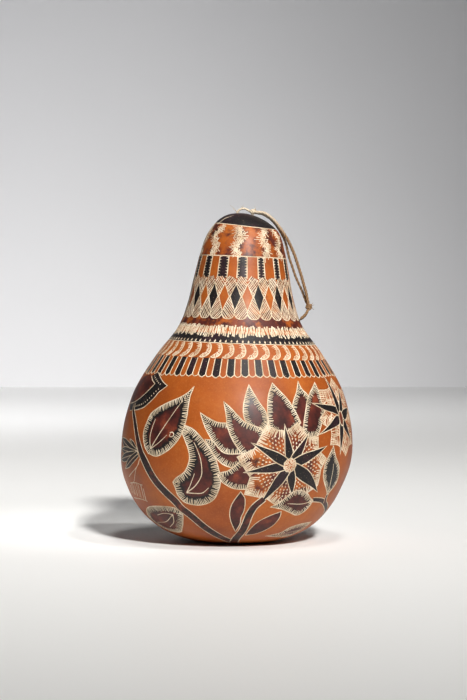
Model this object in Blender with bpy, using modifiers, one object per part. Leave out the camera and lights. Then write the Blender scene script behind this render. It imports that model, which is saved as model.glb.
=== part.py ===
"""Dried bottle gourd that stands on its flattened base, with a twine hanging loop on its crown.

The origin is the middle of the flat seat under the gourd. +Z is up, and -Y is the front.
"""

import math

import bmesh
import bpy
from mathutils import Vector
from mathutils.geometry import interpolate_bezier

# Gourd, in metres. Each outline point is a radius and a height, from the seat's edge to the crown.
OUTLINE = (
    (0.0180, 0.0000),
    (0.0350, 0.0025),
    (0.0500, 0.0092),
    (0.0615, 0.0195),
    (0.0707, 0.0340),
    (0.0769, 0.0530),
    (0.0759, 0.0770),
    (0.0690, 0.1015),
    (0.0555, 0.1240),
    (0.0420, 0.1420),
    (0.0358, 0.1580),
    (0.0323, 0.1740),
    (0.0288, 0.1900),
    (0.0238, 0.2050),
    (0.0140, 0.2145),
    (0.0000, 0.2178),
)
HEIGHT = OUTLINE[-1][1]
ROWS_PER_SPAN = 3
STEPS_ROUND = 64

# What growth did to the turned shape.
NECK_LEAN = 0.0057
BASE_SWAY = 0.0012
BASE_SWAY_HEIGHT = 0.060
OUT_OF_ROUND = 0.010
CROWN_SLOPE = 0.18
CROWN_SHIFT = 0.0020
CROWN_FROM = 0.203

# Two holes bored through the crown's rind for the twine.
HOLE_RADIUS = 0.0011
HOLE_DEPTH = 0.0045
BIGHT_HOLE = Vector((0.0010, 0.0000, 0.2180))
KNOT_HOLE = Vector((0.0115, -0.0005, 0.2170))

# Twine.
OUTER_DIAMETER = 0.0021
INNER_DIAMETER = 0.0017
BIGHT_DIAMETER = 0.0010
TAIL_DIAMETER = 0.0018
CROWN_KNOT_CENTRE = Vector((0.0115, -0.0005, 0.2190))
CROWN_KNOT_RADII = Vector((0.0026, 0.0020, 0.0018))
CROWN_KNOT_STEM_RADIUS = 0.0007
END_KNOT_CENTRE = Vector((0.0488, -0.0010, 0.1560))
END_KNOT_RADII = Vector((0.0021, 0.0020, 0.0028))
POINTS_PER_SPAN = 3

OUTER_ROUTE = (
    (0.01450, -0.0018, 0.2187),
    (0.01850, -0.0019, 0.2184),
    (0.02240, -0.0020, 0.2162),
    (0.02600, -0.0020, 0.2130),
    (0.02900, -0.0020, 0.2092),
    (0.03190, -0.0020, 0.2050),
    (0.03440, -0.0020, 0.2010),
    (0.03690, -0.0020, 0.1960),
    (0.03930, -0.0020, 0.1903),
    (0.04140, -0.0019, 0.1840),
    (0.04350, -0.0017, 0.1775),
    (0.04540, -0.0015, 0.1708),
    (0.04700, -0.0013, 0.1650),
    (0.04815, -0.0012, 0.1594),
)
INNER_ROUTE = (
    (0.01435, 0.0007, 0.2182),
    (0.01810, 0.0009, 0.2175),
    (0.02220, 0.0010, 0.2152),
    (0.02580, 0.0011, 0.2118),
    (0.02890, 0.0012, 0.2076),
    (0.03130, 0.0012, 0.2034),
    (0.03330, 0.0012, 0.1989),
    (0.03460, 0.0013, 0.1936),
    (0.03600, 0.0014, 0.1880),
    (0.03790, 0.0015, 0.1825),
    (0.03990, 0.0016, 0.1765),
    (0.04220, 0.0016, 0.1712),
    (0.04460, 0.0013, 0.1660),
    (0.04680, 0.0006, 0.1598),
)
BIGHT_ROUTE = (
    (0.00100, 0.0000, 0.2155),
    (0.00105, 0.0000, 0.2178),
    (0.00190, 0.0000, 0.2197),
    (0.00360, 0.0000, 0.2209),
    (0.00560, -0.0001, 0.2212),
    (0.00740, -0.0003, 0.2207),
    (0.00880, -0.0004, 0.2198),
)
TAIL_ROUTES = {
    "tail_front": (
        (0.04790, -0.0023, 0.1530),
        (0.04700, -0.0026, 0.1514),
        (0.04560, -0.0027, 0.1499),
        (0.04320, -0.0027, 0.1477),
    ),
    "tail_back": (
        (0.04790, 0.0003, 0.1529),
        (0.04700, 0.0005, 0.1509),
        (0.04580, 0.0006, 0.1494),
        (0.04345, 0.0006, 0.1474),
    ),
}


def material(name, colour, roughness):
    """A rind or a fibre: nothing here is metal."""
    made = bpy.data.materials.new(name)
    made.use_nodes = True
    shader = made.node_tree.nodes["Principled BSDF"]
    shader.inputs["Base Color"].default_value = (*colour, 1.0)
    shader.inputs["Roughness"].default_value = roughness
    shader.inputs["Metallic"].default_value = 0.0
    return made


def add_object(name, data, collection, look=None):
    made = bpy.data.objects.new(name, data)
    collection.objects.link(made)
    if look:
        data.materials.append(look)
    return made


def smooth_points(points, per_span, before_first=None, after_last=None):
    """Points read from a smooth curve through the given ones, per_span to each stretch between two."""
    points = [Vector(point) for point in points]
    first = before_first or points[0] * 2 - points[1]
    last = after_last or points[-1] * 2 - points[-2]
    padded = [first, *points, last]
    read = [points[0]]
    for before, start, stop, after in zip(padded, padded[1:], padded[2:], padded[3:]):
        leaving = start + (stop - before) / 6
        arriving = stop - (after - start) / 6
        read += interpolate_bezier(start, leaving, arriving, stop, per_span + 1)[1:]
    return read


def eased(value, start, stop):
    """0 below start and 1 above stop, with a soft change between them."""
    share = min(max((value - start) / (stop - start), 0.0), 1.0)
    return share * share * (3 - 2 * share)


def grown(point):
    """Moves a point of the turned shape to where the grown gourd has it. The seat stays flat."""
    angle = math.atan2(point.y, point.x)
    swelling = math.sin(2 * angle) + 0.5 * math.sin(3 * angle)
    round_part = math.sin(math.pi * min(point.z / HEIGHT, 1.0))
    moved = point * 1.0
    moved.xy *= 1 + OUT_OF_ROUND * round_part * swelling
    crown_part = eased(point.z, CROWN_FROM, HEIGHT)
    moved.z -= CROWN_SLOPE * point.x * crown_part
    moved.x += NECK_LEAN * (point.z / HEIGHT) ** 1.4 + CROWN_SHIFT * crown_part
    if point.z < BASE_SWAY_HEIGHT:
        moved.x -= BASE_SWAY * math.sin(math.pi * point.z / BASE_SWAY_HEIGHT)
    return moved


def turned_mesh(profile):
    """The mesh that a profile in the XZ plane makes when it is turned about Z."""
    mesh = bpy.data.meshes.new("profile")
    edges = [(i, i + 1) for i in range(len(profile) - 1)]
    mesh.from_pydata(profile, edges, [])
    spun = bpy.data.objects.new("profile", mesh)
    bpy.context.scene.collection.objects.link(spun)
    screw = spun.modifiers.new("turn", "SCREW")
    screw.steps = screw.render_steps = STEPS_ROUND
    screw.use_merge_vertices = True
    screw.merge_threshold = 0.00001
    graph = bpy.context.evaluated_depsgraph_get()
    turned = bpy.data.meshes.new_from_object(spun.evaluated_get(graph))
    bpy.data.objects.remove(spun)
    return turned


def cut(target, cutter):
    hole = target.modifiers.new(cutter.name, "BOOLEAN")
    hole.operation = "DIFFERENCE"
    hole.solver = "EXACT"
    hole.object = cutter


def hole_cutter(name, place, collection):
    mesh = bpy.data.meshes.new(name)
    form = bmesh.new()
    bmesh.ops.create_cone(
        form, cap_ends=True, segments=10, radius1=HOLE_RADIUS, radius2=HOLE_RADIUS, depth=2 * HOLE_DEPTH
    )
    form.to_mesh(mesh)
    form.free()
    cutter = add_object(name, mesh, collection)
    cutter.location = place
    cutter.hide_render = True
    cutter.display_type = "WIRE"
    return cutter


def make_gourd(collection, cutters):
    seat_middle = Vector((0.0, 0.0))
    past_crown = Vector((-OUTLINE[-2][0], OUTLINE[-2][1]))
    outline = smooth_points(OUTLINE, ROWS_PER_SPAN, seat_middle, past_crown)
    profile = [(radius, 0.0, height) for radius, height in reversed(outline)]
    profile.append((0.0, 0.0, 0.0))
    mesh = turned_mesh(profile)
    mesh.name = "gourd"
    for vertex in mesh.vertices:
        vertex.co = grown(vertex.co)
    mesh.shade_smooth()
    rind = material("gourd_rind", (0.48, 0.17, 0.045), 0.35)
    gourd = add_object("gourd", mesh, collection, rind)
    for name, place in (("bight_hole", BIGHT_HOLE), ("knot_hole", KNOT_HOLE)):
        cut(gourd, hole_cutter(name, place, cutters))


def make_strand(name, route, diameter, collection, look):
    """A plain tube along a smooth curve through the route's points."""
    curve = bpy.data.curves.new(name, "CURVE")
    curve.dimensions = "3D"
    curve.bevel_depth = diameter / 2
    curve.bevel_resolution = 2
    curve.use_fill_caps = True
    points = smooth_points(route, POINTS_PER_SPAN)
    spline = curve.splines.new("POLY")
    spline.points.add(len(points) - 1)
    for target, point in zip(spline.points, points):
        target.co = (*point, 1.0)
    add_object(name, curve, collection, look)


def knot_mesh(name, radii):
    mesh = bpy.data.meshes.new(name)
    form = bmesh.new()
    bmesh.ops.create_uvsphere(form, u_segments=14, v_segments=9, radius=1.0)
    bmesh.ops.scale(form, vec=radii, verts=form.verts)
    form.to_mesh(mesh)
    form.free()
    mesh.shade_smooth()
    return mesh


def make_end_knot(collection, look):
    knot = add_object("end_knot", knot_mesh("end_knot", END_KNOT_RADII), collection, look)
    knot.location = END_KNOT_CENTRE


def make_crown_knot(collection, cutters, look):
    """The knot sits on the crown, and its stem goes down into the bored hole."""
    mesh = knot_mesh("crown_knot", CROWN_KNOT_RADII)
    knot = add_object("crown_knot", mesh, collection, look)
    knot.location = CROWN_KNOT_CENTRE
    stem_length = CROWN_KNOT_RADII.z + HOLE_DEPTH / 2
    stem_mesh = bpy.data.meshes.new("crown_knot_stem")
    form = bmesh.new()
    bmesh.ops.create_cone(
        form,
        cap_ends=True,
        segments=10,
        radius1=CROWN_KNOT_STEM_RADIUS,
        radius2=CROWN_KNOT_STEM_RADIUS,
        depth=stem_length,
    )
    form.to_mesh(stem_mesh)
    form.free()
    stem = add_object("crown_knot_stem", stem_mesh, cutters)
    stem.location = CROWN_KNOT_CENTRE - Vector((0.0, 0.0, stem_length / 2))
    stem.hide_render = True
    stem.display_type = "WIRE"
    join = knot.modifiers.new("stem", "BOOLEAN")
    join.operation = "UNION"
    join.solver = "EXACT"
    join.object = stem


def main():
    for old in list(bpy.data.objects):
        bpy.data.objects.remove(old)
    parts = bpy.data.collections.new("bottle_gourd")
    cutters = bpy.data.collections.new("cutters")
    for collection in (parts, cutters):
        bpy.context.scene.collection.children.link(collection)
    make_gourd(parts, cutters)
    twine = material("twine", (0.33, 0.21, 0.11), 0.85)
    make_strand("outer_strand", OUTER_ROUTE, OUTER_DIAMETER, parts, twine)
    make_strand("inner_strand", INNER_ROUTE, INNER_DIAMETER, parts, twine.copy())
    make_strand("crown_bight", BIGHT_ROUTE, BIGHT_DIAMETER, parts, twine.copy())
    for name, route in TAIL_ROUTES.items():
        make_strand(name, route, TAIL_DIAMETER, parts, twine.copy())
    make_crown_knot(parts, cutters, twine.copy())
    make_end_knot(parts, twine.copy())


main()
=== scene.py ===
"""The looks of a carved and burnt bottle gourd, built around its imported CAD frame.

Lengths are in metres, or in millimetres where a name or a comment says mm. +Z is up and the carved front
faces -Y. A place on the rind is (angle, climb): the angle in degrees from the front, positive to the right,
and the climb in mm along the outline from the middle of the seat.
"""
import math
import random

import bmesh
import bpy
import numpy as np
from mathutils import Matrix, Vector, noise
from mathutils.geometry import delaunay_2d_cdt, interpolate_bezier


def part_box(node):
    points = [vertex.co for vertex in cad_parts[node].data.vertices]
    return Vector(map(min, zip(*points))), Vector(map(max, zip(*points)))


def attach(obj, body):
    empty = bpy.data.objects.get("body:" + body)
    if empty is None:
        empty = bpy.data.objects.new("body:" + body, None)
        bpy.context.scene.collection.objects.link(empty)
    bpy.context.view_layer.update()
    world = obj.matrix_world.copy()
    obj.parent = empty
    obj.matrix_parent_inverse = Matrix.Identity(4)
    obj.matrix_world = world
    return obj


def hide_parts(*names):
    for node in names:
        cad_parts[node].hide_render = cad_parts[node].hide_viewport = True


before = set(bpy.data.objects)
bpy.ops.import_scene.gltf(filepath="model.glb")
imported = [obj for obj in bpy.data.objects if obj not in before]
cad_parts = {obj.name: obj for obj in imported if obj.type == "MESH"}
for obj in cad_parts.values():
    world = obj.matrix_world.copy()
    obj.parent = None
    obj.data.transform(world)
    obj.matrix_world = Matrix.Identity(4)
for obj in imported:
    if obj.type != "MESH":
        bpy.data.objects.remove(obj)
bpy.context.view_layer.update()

# The outline and the growth of part.py, in metres.
OUTLINE = (
    (0.0180, 0.0000),
    (0.0350, 0.0025),
    (0.0500, 0.0092),
    (0.0615, 0.0195),
    (0.0707, 0.0340),
    (0.0769, 0.0530),
    (0.0759, 0.0770),
    (0.0690, 0.1015),
    (0.0555, 0.1240),
    (0.0420, 0.1420),
    (0.0358, 0.1580),
    (0.0323, 0.1740),
    (0.0288, 0.1900),
    (0.0238, 0.2050),
    (0.0140, 0.2145),
    (0.0000, 0.2178),
)
HEIGHT = OUTLINE[-1][1]
NECK_LEAN = 0.0057
BASE_SWAY = 0.0012
BASE_SWAY_HEIGHT = 0.060
OUT_OF_ROUND = 0.010
CROWN_SLOPE = 0.18
CROWN_SHIFT = 0.0020
CROWN_FROM = 0.203

# The twine's routes and sizes of part.py, in metres.
OUTER_DIAMETER = 0.0021
INNER_DIAMETER = 0.0017
BIGHT_DIAMETER = 0.0010
TAIL_DIAMETER = 0.0018
OUTER_ROUTE = (
    (0.01450, -0.0018, 0.2187),
    (0.01850, -0.0019, 0.2184),
    (0.02240, -0.0020, 0.2162),
    (0.02600, -0.0020, 0.2130),
    (0.02900, -0.0020, 0.2092),
    (0.03190, -0.0020, 0.2050),
    (0.03440, -0.0020, 0.2010),
    (0.03690, -0.0020, 0.1960),
    (0.03930, -0.0020, 0.1903),
    (0.04140, -0.0019, 0.1840),
    (0.04350, -0.0017, 0.1775),
    (0.04540, -0.0015, 0.1708),
    (0.04700, -0.0013, 0.1650),
    (0.04815, -0.0012, 0.1594),
)
INNER_ROUTE = (
    (0.01435, 0.0007, 0.2182),
    (0.01810, 0.0009, 0.2175),
    (0.02220, 0.0010, 0.2152),
    (0.02580, 0.0011, 0.2118),
    (0.02890, 0.0012, 0.2076),
    (0.03130, 0.0012, 0.2034),
    (0.03330, 0.0012, 0.1989),
    (0.03460, 0.0013, 0.1936),
    (0.03600, 0.0014, 0.1880),
    (0.03790, 0.0015, 0.1825),
    (0.03990, 0.0016, 0.1765),
    (0.04220, 0.0016, 0.1712),
    (0.04460, 0.0013, 0.1660),
    (0.04680, 0.0006, 0.1598),
)
BIGHT_ROUTE = (
    (0.00100, 0.0000, 0.2155),
    (0.00105, 0.0000, 0.2178),
    (0.00190, 0.0000, 0.2197),
    (0.00360, 0.0000, 0.2209),
    (0.00560, -0.0001, 0.2212),
    (0.00740, -0.0003, 0.2207),
    (0.00880, -0.0004, 0.2198),
)
TAIL_ROUTES = {
    "tail_front": (
        (0.04790, -0.0023, 0.1530),
        (0.04700, -0.0026, 0.1514),
        (0.04560, -0.0027, 0.1499),
        (0.04320, -0.0027, 0.1477),
    ),
    "tail_back": (
        (0.04790, 0.0003, 0.1529),
        (0.04700, 0.0005, 0.1509),
        (0.04580, 0.0006, 0.1494),
        (0.04345, 0.0006, 0.1474),
    ),
}


def smooth_points(points, per_span, before_first=None, after_last=None):
    """Points read from a smooth curve through the given ones, per_span to each stretch between two."""
    points = [Vector(point) for point in points]
    first = before_first or points[0] * 2 - points[1]
    last = after_last or points[-1] * 2 - points[-2]
    padded = [first, *points, last]
    read = [points[0]]
    for before, start, stop, after in zip(padded, padded[1:], padded[2:], padded[3:]):
        leaving = start + (stop - before) / 6
        arriving = stop - (after - start) / 6
        read += interpolate_bezier(start, leaving, arriving, stop, per_span + 1)[1:]
    return read


# ---------------------------------------------------------------- camera

EYE = (-0.00133, -1.5, 0.170)
LOOK_DOWN = 1.64
LENS = 77.14
SENSOR_HEIGHT = 24.0


def add_camera():
    """The photograph's view: level with the upper body, from 1.5 m away."""
    data = bpy.data.cameras.new("camera")
    data.sensor_fit = "VERTICAL"
    data.sensor_height = SENSOR_HEIGHT
    data.lens = LENS
    camera = bpy.data.objects.new("camera", data)
    bpy.context.scene.collection.objects.link(camera)
    camera.location = EYE
    camera.rotation_euler = (math.radians(90 - LOOK_DOWN), 0, 0)
    bpy.context.scene.camera = camera


# ---------------------------------------------------------------- small helpers

def new_object(name, data, looks):
    made = bpy.data.objects.new(name, data)
    bpy.context.scene.collection.objects.link(made)
    for look in looks:
        data.materials.append(look)
    return made


def finished(piece, slot, *nodes):
    """Puts a piece on the one CAD body and hides the CAD nodes it stands in for; slot is not used."""
    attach(piece, "root")
    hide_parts(*nodes)


class Nodes:
    """Short ways to add and join shader nodes."""

    def __init__(self, name):
        self.material = bpy.data.materials.new(name)
        self.material.use_nodes = True
        self.tree = self.material.node_tree
        self.shader = self.tree.nodes["Principled BSDF"]

    def add(self, kind, inputs=None, **settings):
        node = self.tree.nodes.new(kind)
        for key, value in settings.items():
            setattr(node, key, value)
        for key, value in (inputs or {}).items():
            self.put(node.inputs[key], value)
        return node

    def put(self, socket, value):
        if isinstance(value, bpy.types.NodeSocket):
            self.tree.links.new(value, socket)
        else:
            socket.default_value = value

    def noise(self, scale, detail=3.0, roughness=0.55, where=None, stretch=None):
        where = where or self.add("ShaderNodeTexCoord").outputs["Object"]
        if stretch:
            where = self.add("ShaderNodeMapping", {"Vector": where, "Scale": stretch}).outputs["Vector"]
        made = self.add(
            "ShaderNodeTexNoise",
            {"Vector": where, "Scale": scale, "Detail": detail, "Roughness": roughness},
        )
        return made.outputs["Fac"]

    def ramp(self, value, *stops):
        """stops are (place, number) or (place, (r, g, b))."""
        node = self.add("ShaderNodeValToRGB", {"Fac": value})
        marks = node.color_ramp.elements
        while len(marks) < len(stops):
            marks.new(0.5)
        for mark, (place, tone) in zip(marks, stops):
            mark.position = place
            mark.color = (*tone, 1.0) if isinstance(tone, tuple) else (tone, tone, tone, 1.0)
        return node.outputs["Color"]

    def mix(self, share, first, second):
        node = self.add("ShaderNodeMix", data_type="RGBA")
        for key, value in (("Factor", share), ("A", first), ("B", second)):
            socket = next(s for s in node.inputs if s.name == key and s.enabled)
            self.put(socket, (*value, 1.0) if isinstance(value, tuple) else value)
        return next(s for s in node.outputs if s.enabled)

    def maths(self, operation, first, second):
        node = self.add("ShaderNodeMath", operation=operation)
        self.put(node.inputs[0], first)
        self.put(node.inputs[1], second)
        return node.outputs[0]

    def spread(self, value, low, high):
        """A 0 to 1 value, brought to low to high."""
        node = self.add("ShaderNodeMapRange", {"Value": value, "To Min": low, "To Max": high})
        return node.outputs["Result"]

    def attribute(self, name):
        return self.add("ShaderNodeAttribute", attribute_name=name).outputs["Fac"]

    def bump(self, height, strength, distance, under=None):
        inputs = {"Height": height, "Strength": strength, "Distance": distance}
        if under:
            inputs["Normal"] = under
        return self.add("ShaderNodeBump", inputs).outputs["Normal"]

    def finish(self, colour, roughness, normal, **plain):
        self.put(self.shader.inputs["Base Color"], colour)
        self.put(self.shader.inputs["Roughness"], roughness)
        self.put(self.shader.inputs["Normal"], normal)
        for key, value in plain.items():
            self.shader.inputs[key.replace("_", " ")].default_value = value
        return self.material


# ---------------------------------------------------------------- twine

STRAND_RING = 18        # points round a strand
STRAND_STEP = 0.00035   # between one ring of points and the next
PLY_RELIEF = 0.26       # how far the valley between two plies sinks, as a share of the radius
BLEACH_LOW, BLEACH_HIGH = 0.203, 0.217  # the heights between which the twine turns pale


def twine_look(name, pale, middle, dark):
    """Spun fibre: streaks that wind with the plies, painted shade in the valleys between plies and a dull,
    bumpy surface.
    """
    n = Nodes(name)
    plies = n.add("ShaderNodeUVMap", uv_map="strand").outputs["UV"]
    streaks = n.noise(1.0, 4.0, 0.65, plies, (900.0, 9.0, 1.0))
    patches = n.noise(1.0, 3.0, 0.6, plies, (220.0, 1.5, 1.0))
    valley = n.attribute("valley")
    colour = n.ramp(streaks, (0.30, dark), (0.50, middle), (0.70, pale))
    colour = n.mix(n.ramp(patches, (0.40, 0.55), (0.62, 0.0)), colour, dark)
    # Painted shade: the deeper a point sits in a valley between plies, the darker its colour.
    colour = n.mix(n.spread(valley, 0.0, 0.8), colour, tuple(0.35 * tone for tone in dark))
    place = n.add("ShaderNodeSeparateXYZ", {"Vector": n.add("ShaderNodeTexCoord").outputs["Object"]})
    bleached = n.add(
        "ShaderNodeMapRange",
        {"Value": place.outputs["Z"], "From Min": BLEACH_LOW, "From Max": BLEACH_HIGH},
    )
    colour = n.mix(n.spread(bleached.outputs["Result"], 0.0, 0.55), colour, (0.70, 0.60, 0.46))
    roughness = n.spread(streaks, 0.70, 0.95)
    normal = n.bump(streaks, 0.7, 0.00025)
    return n.finish(colour, roughness, normal)


def lobed(turn, plies):
    """The radius of a plied cord, 1 on a ply's back and less in the valley between two."""
    return (1 - PLY_RELIEF) + PLY_RELIEF * abs(math.cos(0.5 * plies * turn)) ** 0.8


def frames_along(points):
    """Each point with two unit vectors across the path, carried along it without twist."""
    across = Vector((0, 1, 0))
    made = []
    for i, point in enumerate(points):
        along = (points[min(i + 1, len(points) - 1)] - points[max(i - 1, 0)]).normalized()
        across = (across - along * across.dot(along)).normalized()
        made.append((point, across, along.cross(across)))
    return made


def even_points(points, step):
    """The same path, with points a step apart."""
    lengths = [0.0]
    for a, b in zip(points, points[1:]):
        lengths.append(lengths[-1] + (b - a).length)
    count = max(2, round(lengths[-1] / step))
    axes = [np.interp(np.linspace(0, lengths[-1], count + 1), lengths,
        [p[k] for p in points]) for k in range(3)]
    return [Vector(p) for p in zip(*axes)]


def add_plied_tube(form, path, radius, plies, pitch, start_turn=0.0, ends=(0.55, 0.55), wander=0.06):
    """Adds a plied tube with rounded ends to a bmesh, with its winding UV and how deep each valley is."""
    uv_layer = form.loops.layers.uv.get("strand") or form.loops.layers.uv.new("strand")
    valley_layer = form.verts.layers.float.get("valley") or form.verts.layers.float.new("valley")
    total = sum((b - a).length for a, b in zip(path, path[1:]))
    rings = []
    gone = 0.0
    last = path[0]
    for point, across, up in frames_along(path):
        gone += (point - last).length
        last = point
        near_start = min(1.0, ends[0] + gone / (1.2 * radius))
        near_end = min(1.0, ends[1] + (total - gone) / (1.2 * radius))
        size = radius * min(near_start, near_end)
        size *= 1 + wander * noise.noise(point * 900 + Vector((start_turn, 0, 0)))
        turn = start_turn + 2 * math.pi * gone / pitch
        ring = []
        for k in range(STRAND_RING):
            angle = 2 * math.pi * k / STRAND_RING
            reach = lobed(angle - turn, plies)
            vertex = form.verts.new(point + (across * math.cos(angle) + up * math.sin(angle)) * size * reach)
            vertex[valley_layer] = (1 - reach) / PLY_RELIEF
            ring.append((vertex, (angle - turn) / (2 * math.pi), gone))
        rings.append(ring)
    for before, after in zip(rings, rings[1:]):
        for k in range(STRAND_RING):
            j = (k + 1) % STRAND_RING
            corners = (before[k], before[j], after[j], after[k])
            face = form.faces.new([corner[0] for corner in corners])
            face.smooth = True
            for loop, corner, lap in zip(face.loops, corners, (0, j == 0, j == 0, 0)):
                loop[uv_layer].uv = (corner[1] + lap, corner[2] * 100)
    for ring, flip in ((rings[0], True), (rings[-1], False)):
        corners = [corner[0] for corner in ring]
        form.faces.new(reversed(corners) if flip else corners)


def tube_piece(name, paths, look):
    """A mesh piece of plied tubes. Each path is (points, keywords of add_plied_tube)."""
    form = bmesh.new()
    for points, settings in paths:
        add_plied_tube(form, points, **settings)
    mesh = bpy.data.meshes.new(name)
    form.to_mesh(mesh)
    form.free()
    return new_object(name, mesh, [look])


def strand_path(route):
    return even_points(smooth_points(route, 8), STRAND_STEP)


def stray_fibres(place, way, count, length):
    """Loose hairs that leave a cut end or a knot, each with its own slight curl."""
    strays = []
    for _ in range(count):
        lean = Vector([random_source.uniform(-1, 1) for _ in range(3)])
        curl = Vector([random_source.uniform(-1, 1) for _ in range(3)]) * 0.35
        aimed = (Vector(way).normalized() + 0.6 * lean).normalized()
        reach = length * random_source.uniform(0.5, 1.0)
        route = [Vector(place) + (aimed + curl * t) * (reach * t) for t in (0.0, 0.35, 0.7, 1.0)]
        hair = dict(radius=0.00012, plies=2, pitch=0.003, ends=(1.0, 0.15), wander=0.0)
        strays.append((strand_path(route), hair))
    return strays


def knot_wraps(centre, radii, axis, laps, lean):
    """A path that winds round a knot's middle."""
    axis = Vector(axis).normalized()
    side = axis.orthogonal().normalized()
    other = axis.cross(side)
    points = []
    for i in range(laps * 16 + 1):
        t = i / (laps * 16)
        angle = 2 * math.pi * laps * t
        height = (t - 0.5) * lean
        round_part = math.sqrt(max(0.0, 1 - (1.2 * (t - 0.5)) ** 2))
        place = (side * math.cos(angle) + other * math.sin(angle)) * round_part + axis * height
        points.append(Vector(centre) + Vector([place[k] * radii[k] for k in range(3)]))
    return points


def add_twine():
    pale = twine_look("twine_pale", (0.84, 0.78, 0.60), (0.62, 0.50, 0.32), (0.22, 0.12, 0.06))
    brown = twine_look("twine_brown", (0.62, 0.42, 0.21), (0.34, 0.18, 0.070), (0.045, 0.020, 0.012))
    outer_path = strand_path([(0.0126, -0.0012, 0.2190), *OUTER_ROUTE, (0.0487, -0.0012, 0.1572)])
    inner_path = strand_path([(0.0126, 0.0002, 0.2188), *INNER_ROUTE, (0.0481, -0.0004, 0.1574)])
    outer = tube_piece(
        "outer_strand_twine", [(outer_path, dict(radius=OUTER_DIAMETER / 2, plies=3, pitch=0.0075))], brown
    )
    inner = tube_piece(
        "inner_strand_twine",
        [(inner_path, dict(radius=INNER_DIAMETER / 2, plies=2, pitch=0.0062, start_turn=1.0))],
        brown,
    )
    bight_path = strand_path([*BIGHT_ROUTE, (0.0104, -0.0005, 0.2191)])
    bight = tube_piece(
        "crown_bight_twine",
        [
            (bight_path, dict(radius=0.78 * BIGHT_DIAMETER, plies=2, pitch=0.004)),
            *stray_fibres((0.0011, 0.0, 0.2183), (-0.45, 0.1, 1.0), 2, 0.0075),
            *stray_fibres((0.0050, 0.0, 0.2213), (0.2, 0.0, 1.0), 2, 0.0030),
        ],
        pale,
    )
    tails = [
        tube_piece(
            name + "_twine",
            [
                (
                    strand_path([(0.0487, route[0][1] * 0.5, 0.1550), *route]),
                    dict(radius=TAIL_DIAMETER / 2, plies=3, pitch=0.006, start_turn=turn),
                ),
                *stray_fibres(route[-1], (-1.0, 0.0, -0.7), 6, 0.0024),
            ],
            brown,
        )
        for (name, route), turn in zip(TAIL_ROUTES.items(), (0.4, 2.0))
    ]
    crown_knot = add_crown_knot(pale)
    end_knot = add_end_knot(brown)
    finished(outer, "twine", "outer_strand")
    finished(inner, "twine", "inner_strand")
    finished(bight, "twine", "crown_bight")
    for tail, node in zip(tails, TAIL_ROUTES):
        finished(tail, "twine", node)
    finished(crown_knot, "twine", "crown_knot")
    finished(end_knot, "twine", "end_knot")
    hang(outer_path)
    hang(inner_path)


def hang(path):
    """Works out the length and points of a strand that hangs from the crown to the low knot, and keeps
    nothing.
    """
    length = sum((b - a).length for a, b in zip(path, path[1:]))
    tuple(path[0])
    [tuple(p) for p in path]


def add_crown_knot(look):
    """The knot on the crown: three turns of twine drawn tight, over the stem that goes into the rind."""
    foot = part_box("crown_knot")[0].z
    centre = Vector((0.0115, -0.0005, 0.2190))
    wraps = even_points(knot_wraps(centre, (0.0017, 0.0013, 0.0011), (1, 0.15, 0.2), 3, 1.9), STRAND_STEP)
    cross = even_points(
        smooth_points(
            (
                (0.0095, -0.0010, 0.2190),
                (0.0105, -0.0020, 0.2198),
                (0.0122, -0.0012, 0.2205),
                (0.0134, 0.0004, 0.2198),
                (0.0138, 0.0004, 0.2186),
            ),
            8,
        ),
        STRAND_STEP,
    )
    stem = even_points([centre, Vector((centre.x, centre.y, foot + 0.0002))], STRAND_STEP)
    core_ends = [centre - Vector((0.0018, 0, 0)), centre + Vector((0.0022, -0.0002, -0.0003))]
    core = even_points(core_ends, STRAND_STEP)
    return tube_piece(
        "crown_knot_twine",
        [
            (core, dict(radius=0.0012, plies=2, pitch=0.004)),
            (wraps, dict(radius=0.00076, plies=2, pitch=0.0030, start_turn=0.3)),
            (cross, dict(radius=0.00060, plies=2, pitch=0.0028, start_turn=1.5)),
            (stem, dict(radius=0.0007, plies=2, pitch=0.004)),
            *stray_fibres((0.0128, -0.0005, 0.2196), (0.4, -0.1, 1.0), 5, 0.0034),
        ],
        look,
    )


def add_end_knot(look):
    """The overhand knot that joins the two strands below."""
    centre = Vector((0.0488, -0.0010, 0.1560))
    wraps = even_points(knot_wraps(centre, (0.0014, 0.0013, 0.0017), (0.35, 0.1, 1), 3, 1.9), STRAND_STEP)
    cross = even_points(
        smooth_points(
            (
                (0.0480, -0.0018, 0.1580),
                (0.0494, -0.0026, 0.1570),
                (0.0502, -0.0020, 0.1556),
                (0.0494, -0.0020, 0.1542),
                (0.0480, -0.0018, 0.1536),
            ),
            8,
        ),
        STRAND_STEP,
    )
    core = even_points([Vector((0.0483, -0.0010, 0.1582)), Vector((0.0486, -0.0010, 0.1537))], STRAND_STEP)
    return tube_piece(
        "end_knot_twine",
        [
            (core, dict(radius=0.0013, plies=3, pitch=0.005)),
            (wraps, dict(radius=0.00082, plies=3, pitch=0.0037, start_turn=0.3)),
            (cross, dict(radius=0.00072, plies=3, pitch=0.0037, start_turn=1.5)),
            *stray_fibres((0.0496, -0.0014, 0.1556), (1.0, -0.3, 0.1), 6, 0.0030),
        ],
        look,
    )


# ---------------------------------------------------------------- the room

def plain_look(name, tone, roughness):
    """A matt, almost even paper or paint, with a faint tooth."""
    n = Nodes(name)
    patches = n.noise(3.0, 2.0)
    tooth = n.noise(900.0, 2.0)
    colour = n.ramp(patches, (0.3, tuple(0.985 * t for t in tone)), (0.7, tone))
    return n.finish(colour, n.spread(tooth, roughness - 0.03, roughness + 0.03), n.bump(tooth, 0.05, 0.0002))


WALL_Y = 2.27
SIDE = 6  # half the width of the floor and the wall


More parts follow.
